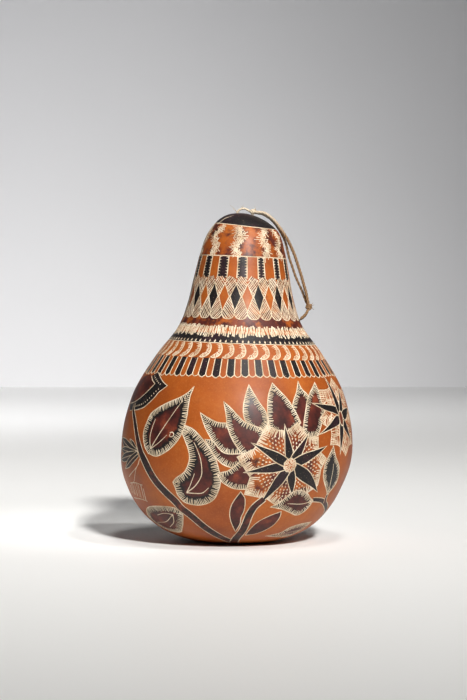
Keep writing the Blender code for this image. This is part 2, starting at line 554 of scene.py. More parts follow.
def add_room():
    """A pale floor, and a pale wall where it ends behind the gourd."""
    floor_look = plain_look("floor_paint", (0.90, 0.90, 0.895), 0.55)
    wall_look = plain_look("wall_paper", (0.80, 0.80, 0.815), 0.85)
    floor = bpy.data.meshes.new("floor")
    floor_corners = [(-SIDE, -SIDE, 0), (SIDE, -SIDE, 0), (SIDE, WALL_Y, 0), (-SIDE, WALL_Y, 0)]
    floor.from_pydata(floor_corners, [], [(0, 1, 2, 3)])
    wall = bpy.data.meshes.new("wall")
    low, high = -0.02, 4
    wall_corners = [(-SIDE, WALL_Y, low), (SIDE, WALL_Y, low), (SIDE, WALL_Y, high), (-SIDE, WALL_Y, high)]
    wall.from_pydata(wall_corners, [], [(0, 1, 2, 3)])
    new_object("floor", floor, [floor_look])
    new_object("wall", wall, [wall_look])


KEY_AZIMUTH, KEY_RISE, KEY_DISTANCE = 18.0, 36.0, 6.0
KEY_RADIUS = 0.32
WARM, COOL = (1.0, 0.985, 0.955), (0.985, 0.985, 1.0)


def key_place():
    """Where the studio lamp stands: in front, a little to the right, and above."""
    azimuth, rise = math.radians(KEY_AZIMUTH), math.radians(KEY_RISE)
    level = KEY_DISTANCE * math.cos(rise)
    return (level * math.sin(azimuth), -level * math.cos(azimuth), 0.09 + KEY_DISTANCE * math.sin(rise))


def add_spot(name, place, target, power, cone, radius, tone):
    data = bpy.data.lights.new(name, "SPOT")
    data.energy = power
    data.color = tone
    data.spot_size = math.radians(cone)
    data.spot_blend = 1.0
    data.shadow_soft_size = radius
    lamp = bpy.data.objects.new(name, data)
    bpy.context.scene.collection.objects.link(lamp)
    lamp.location = place
    lamp.rotation_euler = (Vector(target) - lamp.location).to_track_quat("-Z", "Y").to_euler()


def add_lights():
    """The studio lamp, a softer one from above, and weak ones that shape the neck, the floor and the wall."""
    # Most powers come from a least-squares fit of test renders to brightness sampled from the photograph.
    for name, target, power, cone in (
        ("key", (0, 0.15, 0.02), 612, 24),
        ("key_far", (-0.1, 0.9, 0.02), 1378, 20),
        ("key_left", (-0.5, 0.3, 0.02), 616, 14),
    ):
        add_spot(name, key_place(), target, power, cone, KEY_RADIUS, WARM)
    add_spot("above", (0.3, -0.9, 2.6), (0, -0.1, 0), 87, 40, 0.25, WARM)
    add_spot("shoulder", (0.90, -0.76, 2.03), (0.005, -0.01, 0.182), 225, 4.6, 0.12, WARM)
    add_spot("wall_low", (-0.55, 0.90, 0.80), (-0.26, 2.27, 0.00), 29.6, 116, 0.30, COOL)
    add_spot("floor_back", (-0.60, 1.30, 1.80), (-0.50, 1.30, 0.00), 24, 90, 0.40, COOL)
    world = bpy.data.worlds.new("world")
    world.use_nodes = True
    background = world.node_tree.nodes["Background"]
    background.inputs["Color"].default_value = (0.90, 0.92, 0.95, 1.0)
    background.inputs["Strength"].default_value = 0.008
    bpy.context.scene.world = world
    bpy.context.scene.view_settings.view_transform = "Standard"


# ---------------------------------------------------------------- the rind's shape

def outline_samples():
    """Radius, height and climb in mm, densely along the outline from the middle of the seat."""
    past_crown = Vector((-OUTLINE[-2][0], OUTLINE[-2][1]))
    line = [Vector((0, 0)), *smooth_points(OUTLINE, 40, Vector((0, 0)), past_crown)]
    radii = np.array([1000 * p.x for p in line])
    heights = np.array([1000 * p.y for p in line])
    climbs = np.concatenate([[0], np.cumsum(np.hypot(np.diff(radii), np.diff(heights)))])
    return radii, heights, climbs


RADII, HEIGHTS, CLIMBS = outline_samples()
CLIMB_END = CLIMBS[-1]
POLE = 1.0  # mm from an end of the outline where the unrolled sheet stops and a small fan closes the rind

# The sheet: the rind unrolled so that small shapes keep their angles. Across it runs the angle in radians,
# and up it the rise, which is the climb over the radius, summed. One unit of both is one radius long.
SHEET_CLIMBS = np.linspace(POLE, CLIMB_END - POLE, 6000)
SHEET_RADII = np.interp(SHEET_CLIMBS, CLIMBS, RADII)
RISE_STEPS = np.diff(SHEET_CLIMBS) / (0.5 * (SHEET_RADII[1:] + SHEET_RADII[:-1]))
SHEET_RISES = np.concatenate([[0], np.cumsum(RISE_STEPS)])
RISE_END = SHEET_RISES[-1]


def to_sheet(places):
    """(angle, climb) rows to (radians, rise) rows."""
    places = np.atleast_2d(np.asarray(places, float))
    rises = np.interp(places[:, 1], SHEET_CLIMBS, SHEET_RISES)
    return np.column_stack([np.radians(places[:, 0]), rises])


def mm_per_unit(rises):
    """How many mm of rind one unit of the sheet is, at these rises."""
    return np.interp(rises, SHEET_RISES, SHEET_RADII)


def grown(turned):
    """part.py's growth, for rows of points in metres."""
    x, y, z = turned.T
    angle = np.arctan2(y, x)
    swelling = np.sin(2 * angle) + 0.5 * np.sin(3 * angle)
    wider = 1 + OUT_OF_ROUND * np.sin(np.pi * np.minimum(z / HEIGHT, 1.0)) * swelling
    share = np.clip((z - CROWN_FROM) / (HEIGHT - CROWN_FROM), 0, 1)
    crown_part = share * share * (3 - 2 * share)
    moved_x = x * wider
    moved_z = z - CROWN_SLOPE * moved_x * crown_part
    lean = NECK_LEAN * (z / HEIGHT) ** 1.4 + CROWN_SHIFT * crown_part
    sway = np.where(z < BASE_SWAY_HEIGHT, BASE_SWAY * np.sin(np.pi * z / BASE_SWAY_HEIGHT), 0.0)
    return np.column_stack([moved_x + lean - sway, y * wider, moved_z])


def lumps(points):
    """How far the dried rind sinks or swells at each point, in metres. The seat stays flat."""
    waves = ((0.00022, 32), (0.00010, 85), (0.00004, 240))
    heights = [sum(size * noise.noise(Vector(p) * scale) for size, scale in waves) for p in points]
    return np.array(heights) * np.clip((points[:, 2] - 0.001) / 0.01, 0, 1) - 0.00010


def rind_points(sheet):
    """Where rows of the sheet lie on the gourd, in metres."""
    climbs = np.interp(sheet[:, 1], SHEET_RISES, SHEET_CLIMBS)
    radii = np.interp(climbs, CLIMBS, RADII) / 1000
    heights = np.interp(climbs, CLIMBS, HEIGHTS) / 1000
    turned = np.column_stack([radii * np.sin(sheet[:, 0]), -radii * np.cos(sheet[:, 0]), heights])
    points = grown(turned)
    outward = np.column_stack([np.sin(sheet[:, 0]), -np.cos(sheet[:, 0]), np.zeros(len(sheet))])
    return points + outward * lumps(points)[:, None]


def rind_normals(sheet):
    """The rind's outward direction at rows of the sheet."""
    reach = 0.7 / mm_per_unit(sheet[:, 1])
    along_angle = np.column_stack([reach, np.zeros(len(sheet))])
    along_rise = np.column_stack([np.zeros(len(sheet)), np.minimum(reach, 0.12)])
    round_way = rind_points(sheet + along_angle) - rind_points(sheet - along_angle)
    up_way = rind_points(sheet + along_rise) - rind_points(sheet - along_rise)
    normals = np.cross(round_way, up_way)
    return normals / np.maximum(np.linalg.norm(normals, axis=1), 1e-12)[:, None]


# ---------------------------------------------------------------- carving into the sheet

RIND, BURNT, CUT = 0, 1, 2
LINE = 0.62          # mm, the width of an engraved line
GROOVE_DEPTH = 0.16  # mm
SHORTEST_HATCH = 0.6  # mm, below which a hatching stroke is left out
SHORTEST_FRINGE = 0.5  # mm
random_source = random.Random(7)


class Carving:
    """What is stained, burnt and engraved, in the order of the work: later covers earlier."""

    def __init__(self):
        self.points = []
        self.faces = []
        self.facts = []

    def add(self, points, faces, facts, around=False):
        """Adds faces on sheet points, and again a whole turn away where they cross the back."""
        for shift in (0.0,) if around else (-2 * math.pi, 0.0, 2 * math.pi):
            moved = points + np.array([shift, 0.0])
            if not around and (moved[:, 0].max() < -math.pi - 0.02 or moved[:, 0].min() > math.pi + 0.02):
                continue
            start = len(self.points)
            self.points.extend(map(tuple, moved))
            for face, fact in zip(faces, facts):
                self.faces.append([start + i for i in face])
                self.facts.append(dict(fact, shift=shift))

    def fill(self, outline, kind=RIND, stain=0.0, char=None, around=False):
        """Fills a sheet outline. char is (at the rim, inside, mm between them)."""
        if signed_area(outline) < 0:
            outline = outline[::-1]
        fact = dict(kind=kind, stain=stain, char=char, outline=outline)
        self.add(outline, [list(range(len(outline)))], [fact], around)

    def groove(self, line, width, closed=False, depth=GROOVE_DEPTH, around=False):
        """Engraves a V groove along sheet points. width is in mm, one number or one for each point."""
        if closed:
            line = np.vstack([line, line[:1]])
        widths = np.broadcast_to(np.asarray(width, float), (len(line),))
        ways = np.diff(line, axis=0)
        ways = ways / np.maximum(np.linalg.norm(ways, axis=1), 1e-12)[:, None]
        if closed:
            before, after = np.vstack([ways[-1:], ways]), np.vstack([ways, ways[:1]])
        else:
            before, after = np.vstack([ways[:1], ways]), np.vstack([ways, ways[-1:]])
        mean = before + after
        mean /= np.maximum(np.linalg.norm(mean, axis=1), 0.3)[:, None]
        side = np.column_stack([-mean[:, 1], mean[:, 0]])
        stretch = 1 / np.clip(np.abs((mean * before).sum(axis=1)), 0.6, 1)
        halves = 0.5 * widths / mm_per_unit(line[:, 1])
        offset = side * (halves * stretch)[:, None]
        points = np.vstack([line + offset, line, line - offset])
        count = len(line)
        depths = depth * np.minimum(1.0, widths / LINE)
        faces, facts = [], []
        for i in range(count - 1):
            spine = (line[i], line[i + 1], halves[i], halves[i + 1], depths[i], depths[i + 1])
            for a, b in ((count, 0), (2 * count, count)):
                faces.append([a + i, a + i + 1, b + i + 1, b + i])
                facts.append(dict(kind=CUT, stain=0.0, char=None, spine=spine))
        self.add(points, faces, facts, around)

    def stroke(self, start, stop, width, tip):
        """One flick of the graver, wide where it starts and narrow where it stops."""
        self.groove(np.array([start, stop]), (width, width * tip))


def signed_area(outline):
    x, y = outline[:, 0], outline[:, 1]
    return 0.5 * float(np.sum(x * np.roll(y, -1) - np.roll(x, -1) * y))


def curve(places, per_span=5):
    """A smooth sheet line through (angle, climb) places."""
    flat = to_sheet(places)
    return np.array([tuple(p) for p in smooth_points([tuple(p) for p in flat], per_span)])


def joined(*lines):
    """One closed outline of lines that each start where the one before stops."""
    return np.vstack([line[:-1] for line in lines])


def walk(line, pitch, closed=False):
    """Points and directions a pitch in mm apart along a sheet line, half a pitch in from its ends."""
    if closed:
        line = np.vstack([line, line[:1]])
    scale = mm_per_unit(0.5 * (line[1:, 1] + line[:-1, 1]))
    lengths = np.linalg.norm(np.diff(line, axis=0), axis=1) * scale
    gone = np.concatenate([[0], np.cumsum(lengths)])
    count = max(1, int((gone[-1] - pitch) / pitch))
    for i in range(count + 1):
        at = 0.5 * pitch + (gone[-1] - pitch) * i / count
        k = min(int(np.searchsorted(gone, at, side="right")) - 1, len(lengths) - 1)
        share = (at - gone[k]) / max(lengths[k], 1e-9)
        way = line[k + 1] - line[k]
        yield line[k] + way * share, way / max(np.linalg.norm(way), 1e-12)


def room_ahead(place, way, outline):
    """How far a ray on the sheet goes before it meets a closed outline again."""
    here = outline - place
    after = np.roll(here, -1, axis=0)
    here_side = way[0] * here[:, 1] - way[1] * here[:, 0]
    after_side = way[0] * after[:, 1] - way[1] * after[:, 0]
    crossed = (here_side > 0) != (after_side > 0)
    share = here_side[crossed] / (here_side[crossed] - after_side[crossed])
    hits = (here[crossed] + (after[crossed] - here[crossed]) * share[:, None]) @ way
    hits = hits[hits > 1e-4]
    return float(hits.min()) if len(hits) else 1.0


def fringe(carving, line, reach, pitch, side=1, width=0.75, tip=0.35, closed=False, lean=0.0, wild=0.15):
    """Strokes that stand on a line, to its left if side is 1. reach is their length in mm."""
    for place, way in walk(line, pitch, closed):
        length = reach * (1 + wild * random_source.uniform(-1, 1)) / mm_per_unit(place[1])
        angle = math.radians(lean + 9 * random_source.uniform(-1, 1))
        across = np.array([-way[1], way[0]]) * side
        turned = across * math.cos(angle) + way * math.sin(angle)
        if closed:
            length = min(length, 0.46 * room_ahead(place, turned, line))
        if length * mm_per_unit(place[1]) > SHORTEST_FRINGE:
            carving.stroke(place, place + turned * length, width, tip)


def hatch(carving, outline, direction, pitch, width, tip):
    """Fills a sheet outline with parallel strokes. direction is in degrees, 0 level and 90 upright."""
    middle = outline.mean(axis=0)
    scale = mm_per_unit(middle[1])
    angle = math.radians(direction)
    along = np.array([math.cos(angle), math.sin(angle)])
    across = np.array([-along[1], along[0]])
    local = (outline - middle) * scale
    heights = local @ across
    reaches = local @ along
    low, high = heights.min(), heights.max()
    count = max(1, int((high - low) / pitch))
    for i in range(count):
        level = low + (high - low) * (i + 0.5 + 0.15 * random_source.uniform(-1, 1)) / count
        crossings = []
        for a in range(len(outline)):
            b = (a + 1) % len(outline)
            if (heights[a] > level) != (heights[b] > level):
                share = (level - heights[a]) / (heights[b] - heights[a])
                crossings.append(reaches[a] + (reaches[b] - reaches[a]) * share)
        crossings.sort()
        for start, stop in zip(crossings[::2], crossings[1::2]):
            if stop - start < SHORTEST_HATCH:
                continue
            ends = [middle + (along * t + across * level) / scale for t in (start, stop)]
            if i % 2:
                ends.reverse()
            carving.stroke(ends[0], ends[1], width, tip)


def drop(carving, place, way, length, width):
    """A small teardrop nick. place is on the sheet, and way a direction on it."""
    way = np.asarray(way, float) / max(np.linalg.norm(way), 1e-12)
    unit = 1 / mm_per_unit(place[1])
    line = np.array([place + way * share * length * unit for share in (-0.5, 0.15, 0.5)])
    carving.groove(line, (0.15, width, 0.2), depth=0.2)


RING_STEP, RING_PAST = 3.0, 9.0  # degrees between a ring's points, and how far it runs past the back


def ring_line(climb):
    """A sheet line round the gourd at a band's climb."""
    angles = np.arange(-180 - RING_PAST, 180 + RING_PAST + 0.1, RING_STEP)
    climbs = [band(climb, a) for a in angles]
    return to_sheet(np.column_stack([angles, climbs]))


TILT_CLIMBS = (160.0, 166.0, 180.0, 191.0, 205.0, 212.0)
TILTS = (1.1, 1.3, 2.4, 2.3, 1.9, 1.3)


def band(climb, angle):
    """The bands run a little lower on the right than on the left."""
    return climb - float(np.interp(climb, TILT_CLIMBS, TILTS)) * math.sin(math.radians(angle))


def ring_fill(carving, low, high, **settings):
    lower = ring_line(low)
    upper = ring_line(high)
    carving.fill(np.vstack([lower, upper[::-1]]), around=True, **settings)


def ring_groove(carving, climb):
    carving.groove(ring_line(climb), LINE, around=True)


def on_band(pairs):
    """(angle, climb) pairs, tilted with the bands, on the sheet."""
    return to_sheet([(a, band(c, a)) for a, c in pairs])


# ---------------------------------------------------------------- bands

CAP, RECT_TOP, RECT_LOW = 273.8, 252.0, 237.2
TIP_HIGH, WAIST, TIP_LOW, SCALLOP = 233.8, 225.0, 215.0, 209.8
FUR_TOP, BLACK_TOP, BLACK_LOW = 204.9, 198.2, 191.1
CRESCENT_LOW, TONGUE_LOW = 179.5, 165.0


def carve_cap(carving):
    """The black cap on the crown, with one stray nick on it."""
    lower = ring_line(CAP)
    upper = np.column_stack([lower[::-1, 0], np.full(len(lower), RISE_END)])
    carving.fill(np.vstack([lower, upper]), BURNT, around=True)
    ring_groove(carving, CAP)
    carving.groove(on_band([(-62, 273), (-56, 278), (-44, 283)]), (0.6, 0.7, 0.2))


def carve_ribbons(carving):
    """Ten wavy ribbons of ragged cream strokes on red and orange rind."""
    ring_fill(carving, RECT_TOP, CAP, stain=0.46)
    for k in range(10):
        middle = -6.5 + 36 * k + (0, 3, -3, 2, -2)[k % 5]
        sway = 6.5 if k % 2 else -6.5
        route = ((-0.6, 252.6), (0.9, 256.5), (0.2, 261), (-0.9, 265.5), (0.3, 269.5), (0.9, 273.2))
        line = curve([(middle + sway * s, band(c, middle)) for s, c in route], 6)
        for number, (place, way) in enumerate(walk(line, 0.55)):
            across = np.array([-way[1], way[0]])
            tilt = (0.75, -0.35)[number % 2] * (1 if k % 2 else -1)
            turned = across + way * (tilt + 0.25 * random_source.uniform(-1, 1))
            reach = 3.2 * (1 + 0.45 * random_source.uniform(-1, 1)) / mm_per_unit(place[1])
            start = place - turned * reach * random_source.uniform(0.5, 1.0)
            carving.stroke(start, place + turned * reach, 0.62, 0.4)
    ring_groove(carving, RECT_TOP)


def carve_rectangles(carving):
    """Fifteen black blocks, with toothed cream lines between them and the orange ones."""
    for k in range(15):
        middle = 24 * k
        half = (5.4, 3.9, 4.3, 5.2, 5.8)[k % 5]
        left, right = middle - half, middle + half
        block = on_band([(left, RECT_LOW), (right, RECT_LOW), (right, RECT_TOP - 0.4),
            (left, RECT_TOP - 0.4)])
        carving.fill(block, BURNT)
        for angle, side in ((left - 0.5, -1), (right + 0.5, 1)):
            line = on_band([(angle, RECT_LOW), (angle, 0.5 * (RECT_LOW + RECT_TOP)), (angle, RECT_TOP)])
            carving.groove(line, 0.7)
            fringe(carving, line, 1.5, 1.7, side, 0.75, 0.25)


def carve_diamonds(carving):
    """Fourteen black and fourteen orange diamonds, between scribbled cones with scalloped ends."""
    ring_fill(carving, SCALLOP + 2.2, RECT_LOW, stain=0.12)
    half = 360 / 56
    for k in range(28):
        middle = -6.3 + 2 * half * k
        if k % 2 == 0:
            diamond = on_band(
                [(middle - half + 0.9, WAIST), (middle, TIP_LOW), (middle + half - 0.9, WAIST),
                (middle, TIP_HIGH)]
            )
            carving.fill(diamond, BURNT)
        between = middle + half
        ridge = 0.7 * random_source.uniform(-1, 1)
        arch = on_band(
            [
                (between - half, TIP_HIGH - 0.2),
                (between - 0.9 * half, 236.9 + ridge),
                (between - 0.3 * half, 238.4 - ridge),
                (between + 0.4 * half, 238.0 + ridge),
                (between + 0.9 * half, 236.5 - ridge),
                (between + half, TIP_HIGH - 0.2),
                (between + 0.6, WAIST + 0.2),
                (between - 0.6, WAIST + 0.2),
            ]
        )
        cone = on_band(
            [
                (between - 0.6, WAIST - 0.2),
                (between - half, TIP_LOW + 0.2),
                (between - 0.98 * half, 212.6),
                (between - 0.66 * half, 210.6),
                (between - 0.3 * half, 209.8),
                (between + 0.3 * half, 209.8),
                (between + 0.66 * half, 210.6),
                (between + 0.98 * half, 212.6),
                (between + half, TIP_LOW + 0.2),
                (between + 0.6, WAIST - 0.2),
            ]
        )
        carving.fill(arch, RIND, 0.62)
        carving.fill(cone, RIND, 0.62)
        lean = 52 if k % 2 else 128
        hatch(carving, arch, lean, 1.15, 0.76, 0.5)
        hatch(carving, arch, 180 - lean, 3.0, 0.5, 0.4)
        hatch(carving, cone, 180 - lean, 1.12, 0.76, 0.5)
        carving.groove(arch[5:], 0.55)
        carving.groove(arch[[7, 0]], 0.55)
        carving.groove(cone, 0.55, closed=True)


def carve_fur(carving):
    """A red mottled ring, the ground of the fur strokes."""
    ring_fill(carving, FUR_TOP - 2, SCALLOP + 3.0, stain=0.62)


def carve_fur_strokes(carving):
    """Two rows of short cream strokes that lap over the black ring below."""
    for row, (top, reach) in enumerate(((FUR_TOP - 0.3, 4.2), (FUR_TOP - 3.2, 4.4))):
        for k in range(235):
            angle = -180 + 360 / 235 * (k + 0.5 * row + 0.3 * random_source.uniform(-1, 1))
            high = top + 1.0 * random_source.uniform(-1, 1)
            low = high - reach * (1 + 0.2 * random_source.uniform(-1, 1))
            lean = 1.0 * random_source.uniform(-1, 1)
            ends = on_band([(angle, high), (angle + lean, low)])
            if row:
                ends = ends[::-1]
            carving.stroke(ends[0], ends[1], 1.02, 0.50)


def carve_black_ring(carving):
    """The black ring below the fur."""
    ring_fill(carving, BLACK_LOW, BLACK_TOP + 0.8, kind=BURNT)


def carve_ring_drops(carving):
    """A row of cream drops on the black ring, over an engraved line."""
    for k in range(82):
        angle = -180 + 360 / 82 * (k + 0.5)
        place = on_band([(angle, BLACK_LOW + 1.7)])[0]
        drop(carving, place, (-0.1, -1.0), 2.3, 1.35)
    ring_groove(carving, BLACK_LOW)


def in_unit(left, wide, pairs):
    """Places in one unit of a ring, from (share of its width, climb) pairs, tilted as its left edge is."""
    return [(left + share * wide, band(climb, left)) for share, climb in pairs]


def carve_crescents(carving):
    """Forty-three orange scales that lean to the right, with strokes inside their curved edges."""
    wide = 360 / 43
    high, low = BLACK_LOW - 0.3, CRESCENT_LOW
    route = (
        (0.72, high), (0.93, high - 2.6), (1.0, high - 5.6), (0.93, low + 2.6),
        (0.70, low + 0.5), (0.40, low - 0.3), (0.12, low + 0.4),
    )
    inner_route = (
        (0.62, high - 1.2), (0.72, high - 4.0), (0.70, high - 6.6), (0.55, low + 3.0), (0.34, low + 2.0),
    )
    for k in range(43):
        left = -180 + wide * k
        edge = curve(in_unit(left, wide, route), 4)
        fringe(carving, edge, 3.0, 1.30, -1, 0.72, 0.40, lean=-12)
        carving.groove(edge, 0.8)
        carving.groove(curve(in_unit(left, wide, inner_route), 3), 0.35)


def carve_tongues(carving):
    """Forty-two black tongues with slanted ends, and an orange one with a round end beside each."""
    wide = 360 / 42
    top = CRESCENT_LOW - 0.7
    for k in range(42):
        left = -179 + wide * k
        slip = 0.5 * random_source.uniform(-1, 1)
        black = curve(in_unit(left, wide, ((0.01, top), (0.01, TONGUE_LOW + 2.6 + slip))), 2)
        right_side = curve(in_unit(left, wide, ((0.55, TONGUE_LOW + 1.6 + slip), (0.55, top))), 2)
        low = on_band([(left + 0.12 * wide, TONGUE_LOW + 0.9 + slip),
            (left + 0.34 * wide, TONGUE_LOW + slip)])
        shape = np.vstack([black, low, right_side])
        carving.fill(shape, BURNT)
        carving.groove(shape, LINE)
        round_end = [
            (share, TONGUE_LOW + above + slip)
            for share, above in ((0.55, 2.6), (0.64, 0.9), (0.78, 0.2), (0.96, 0.9), (1.01, 2.4))
        ]
        carving.groove(curve(in_unit(left, wide, round_end), 3), LINE)


def carve_bands(carving):
    """The rings of ornament, in the order in which each laps over those before it."""
    for carve in (
        carve_ribbons, carve_cap, carve_rectangles, carve_fur, carve_diamonds,
        carve_black_ring, carve_fur_strokes, carve_ring_drops, carve_tongues, carve_crescents,
    ):
        carve(carving)


# ---------------------------------------------------------------- the meshed rind

GRID_STEP = 2.7  # mm


def grid_rows():
    """Staggered rows of points over the sheet, each row with a point on both sides of the back seam."""
    rises = [0.0]
    while rises[-1] < RISE_END:
        rises.append(rises[-1] + 0.87 * GRID_STEP / max(3.2, mm_per_unit(rises[-1])))
    rises = np.array(rises) * RISE_END / rises[-1]
    points, seams = [], []
    for j, rise in enumerate(rises):
        count = max(10, round(2 * math.pi * mm_per_unit(rise) / GRID_STEP))
        shift = 0.5 * (j % 2)
        start = len(points)
        points.append((-math.pi, rise))
        points += [(-math.pi + 2 * math.pi * (i + shift) / count, rise) for i in range(1 - j % 2, count)]
        points.append((math.pi, rise))
        seams.append((start, len(points) - 1))
    edges = [(a[side], b[side]) for a, b in zip(seams, seams[1:]) for side in (0, 1)]
    for low in (seams[0], seams[-1]):
        edges += [(i, i + 1) for i in range(low[0], low[1])]
    return points, edges


def inside(place, outline):
    """Whether a sheet point lies inside an outline."""
    odd = False
    x, y = place
    for (ax, ay), (bx, by) in zip(outline, outline[1:] + outline[:1]):
        if (ay > y) != (by > y) and x < ax + (bx - ax) * (y - ay) / (by - ay):
            odd = not odd
    return odd


def in_box(place, box):
    slack = 1e-6
    return box[0] - slack <= place[0] <= box[1] + slack and box[2] - slack <= place[1] <= box[3] + slack


def meshed(carving):
    """The sheet's triangles, and for each the number of the topmost thing drawn there, or -1."""
    grid, edges = grid_rows()
    offset = len(grid)
    points = [Vector(p) for p in grid] + [Vector(p) for p in carving.points]
    faces = [[offset + i for i in face] for face in carving.faces]
    result = delaunay_2d_cdt(points, edges, faces, 0, 1e-6, True)
    sheet = np.array([tuple(v) for v in result[0]])
    outlines = [[carving.points[i] for i in face] for face in carving.faces]
    boxes = [(min(x), max(x), min(y), max(y)) for x, y in (zip(*outline) for outline in outlines)]
    triangles, tops, middles, found, strays = [], [], [], [], set()
    for face, sources in zip(result[2], result[5]):
        x = sum(sheet[i, 0] for i in face) / 3
        y = sum(sheet[i, 1] for i in face) / 3
        if abs(x) > math.pi or len(face) != 3:
            continue
        triangles.append(face)
        middles.append((x, y))
        found.append(sorted(sources, reverse=True))
        strays.update(source for source in sources if not in_box((x, y), boxes[source]))
    for middle, sources in zip(middles, found):
        real = (
            s
            for s in sources
            if s not in strays or (in_box(middle, boxes[s]) and inside(middle, outlines[s]))
        )
        tops.append(next(real, -1))
    return sheet, np.array(triangles), np.array(tops)


def seam_closed(sheet, triangles):
    """Makes the points on the right of the back seam the same as those on its left."""
    used = np.unique(triangles)
    left = [i for i in used if abs(sheet[i, 0] + math.pi) < 1e-5]
    right = [i for i in used if abs(sheet[i, 0] - math.pi) < 1e-5]
    into = np.arange(len(sheet))
    rises = np.array([sheet[i, 1] for i in left])
    for i in right:
        k = int(np.argmin(np.abs(rises - sheet[i, 1])))
        if abs(rises[k] - sheet[i, 1]) < 2e-5:
            into[i] = left[k]
    return into


def groove_depths(carving, sheet, triangles, tops):
    """How deep each point lies, in mm, in the grooves that show there."""
    depths = np.zeros(len(sheet))
    tops_there = [(t, carving.facts[top]) for t, top in enumerate(tops) if top >= 0]
    rows = [(t, fact) for t, fact in tops_there if "spine" in fact]
    if not rows:
        return depths
    shifts = np.array([[f["shift"], 0.0] for _, f in rows])
    starts = np.array([f["spine"][0] for _, f in rows]) + shifts
    stops = np.array([f["spine"][1] for _, f in rows]) + shifts
    sizes = np.array([f["spine"][2:] for _, f in rows])
    ways = stops - starts
    squares = np.maximum((ways**2).sum(axis=1), 1e-18)
    for corner in range(3):
        numbers = triangles[[t for t, _ in rows], corner]
        away = sheet[numbers] - starts
        share = np.clip((away * ways).sum(axis=1) / squares, 0, 1)
        distance = np.linalg.norm(away - ways * share[:, None], axis=1)
        half = sizes[:, 0] + (sizes[:, 1] - sizes[:, 0]) * share
        deepest = sizes[:, 2] + (sizes[:, 3] - sizes[:, 2]) * share
        here = deepest * np.clip(1 - distance / np.maximum(half, 1e-9), 0, 1)
        np.maximum.at(depths, numbers, here)
    return depths


def rim_distance(places, outline):
    """The distance in mm from rows of the sheet to an outline on it."""
    starts = outline
    ways = np.roll(outline, -1, axis=0) - starts
    squares = np.maximum((ways**2).sum(axis=1), 1e-18)
    away = places[:, None, :] - starts[None, :, :]
    share = np.clip((away * ways[None]).sum(axis=2) / squares[None], 0, 1)
    distance = np.linalg.norm(away - ways[None] * share[..., None], axis=2).min(axis=1)
    return distance * mm_per_unit(places[:, 1])


def corner_values(carving, sheet, triangles, tops):
    """Each triangle's kind and stain, and each of its corners' char."""
    kinds = np.zeros(len(triangles), int)
    stains = np.zeros(len(triangles))
    chars = np.zeros((len(triangles), 3))
    by_top = {}
    for t, top in enumerate(tops):
        if top >= 0:
            by_top.setdefault(top, []).append(t)
    for top, members in by_top.items():
        fact = carving.facts[top]
        kinds[members] = fact["kind"]
        stains[members] = fact["stain"]
        if fact["char"]:
            at_rim, inside, reach = fact["char"][:3]
            corners = triangles[members].reshape(-1)
            outline = fact["outline"] + np.array([fact["shift"], 0.0])
            share = np.clip(rim_distance(sheet[corners], outline) / reach, 0, 1)
            share = share * share * (3 - 2 * share)
            chars[members] = (at_rim + (inside - at_rim) * share).reshape(-1, 3)
    return kinds, stains, chars


def pole_fans(sheet, triangles, into):
    """The triangles that close the seat's middle and the crown, with a new point for each."""
    used = np.unique(into[triangles])
    fans, centres = [], []
    for rise, flip in ((0.0, True), (RISE_END, False)):
        ring = [i for i in used if abs(sheet[i, 1] - rise) < 1e-5]
        ring.sort(key=lambda i: sheet[i, 0])
        centre = len(sheet) + len(centres)
        centres.append((0.0, rise))
        for a, b in zip(ring, ring[1:] + ring[:1]):
            fans.append((b, a, centre) if flip else (a, b, centre))
    return fans, centres


